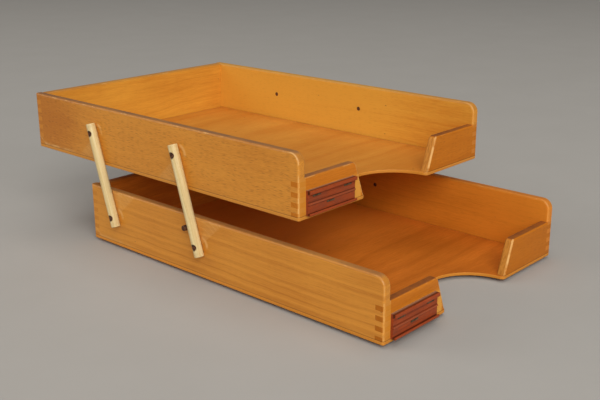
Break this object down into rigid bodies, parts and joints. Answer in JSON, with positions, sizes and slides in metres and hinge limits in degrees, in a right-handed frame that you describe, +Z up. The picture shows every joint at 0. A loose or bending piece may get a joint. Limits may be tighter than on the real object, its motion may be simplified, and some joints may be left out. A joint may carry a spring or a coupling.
{
  "type": "letter tray",
  "caption": "Two-tier wooden letter tray; the upper tray swings on parallel dowel links over the lower one, with finger-jointed boards, cut-out fronts and label holders.",
  "frame": {"origin": "on the desk surface, at the middle of the whole open tray's outline seen from above", "axes": "+X to the right of someone facing the cut-out fronts, +Y from the fronts to the back boards, +Z up"},
  "size_m": [0.266, 0.4378, 0.1326],
  "materials": {
    "beech": "satin amber lacquer",
    "plywood": "satin amber lacquer",
    "pale_beech": "bare, waxed",
    "label_plastic": "dull gloss",
    "staple_steel": "tarnished",
    "pin_steel": "dark oxidised",
    "felt": "matt"
  },
  "bodies": {
    "lower_tray": {"lower_left_side": "beech", "lower_right_side": "beech", "lower_back": "beech", "lower_front_left": "beech", "lower_front_right": "beech", "lower_bottom": "plywood", "lower_label_holder": "label_plastic", "lower_label_staples": "staple_steel", "lower_pin_front_left": "pin_steel", "lower_pin_front_right": "pin_steel", "lower_pin_rear_left": "pin_steel", "lower_pin_rear_right": "pin_steel", "stop_peg_left": "pin_steel", "stop_peg_right": "pin_steel", "pad_front_left": "felt", "pad_front_right": "felt", "pad_rear_left": "felt", "pad_rear_right": "felt"},
    "upper_tray": {"upper_left_side": "beech", "upper_right_side": "beech", "upper_back": "beech", "upper_front_left": "beech", "upper_front_right": "beech", "upper_bottom": "plywood", "upper_label_holder": "label_plastic", "upper_label_staples": "staple_steel", "upper_pin_front_left": "pin_steel", "upper_pin_front_right": "pin_steel", "upper_pin_rear_left": "pin_steel", "upper_pin_rear_right": "pin_steel"},
    "link_front_left": {"link_front_left": "pale_beech"},
    "link_front_right": {"link_front_right": "pale_beech"},
    "link_rear_left": {"link_rear_left": "pale_beech"},
    "link_rear_right": {"link_rear_right": "pale_beech"}
  },
  "joints": [
    {"name": "swing", "type": "hinge", "parent": "lower_tray", "child": "link_front_left", "pos_m": [-0.12865, -0.01818, 0.0322], "axis": [1, 0, 0], "range_deg": [0, 64.9]},
    {"name": "link_front_right_foot", "type": "hinge", "parent": "lower_tray", "child": "link_front_right", "pos_m": [0.12865, -0.01818, 0.0322], "axis": [1, 0, 0], "range_deg": [0, 64.9]},
    {"name": "link_rear_left_foot", "type": "hinge", "parent": "lower_tray", "child": "link_rear_left", "pos_m": [-0.12865, 0.09742, 0.0322], "axis": [1, 0, 0], "range_deg": [0, 64.9]},
    {"name": "link_rear_right_foot", "type": "hinge", "parent": "lower_tray", "child": "link_rear_right", "pos_m": [0.12865, 0.09742, 0.0322], "axis": [1, 0, 0], "range_deg": [0, 64.9]},
    {"name": "upper_tray_pivot", "type": "hinge", "parent": "link_front_left", "child": "upper_tray", "pos_m": [-0.12865, 0.00547, 0.10862], "axis": [1, 0, 0], "range_deg": [-64.9, 0]}
  ],
  "couplings": [
    {"joint": "link_front_right_foot", "follows": "swing", "ratio": 1},
    {"joint": "link_rear_left_foot", "follows": "swing", "ratio": 1},
    {"joint": "link_rear_right_foot", "follows": "swing", "ratio": 1},
    {"joint": "upper_tray_pivot", "follows": "swing", "ratio": -1}
  ]
}
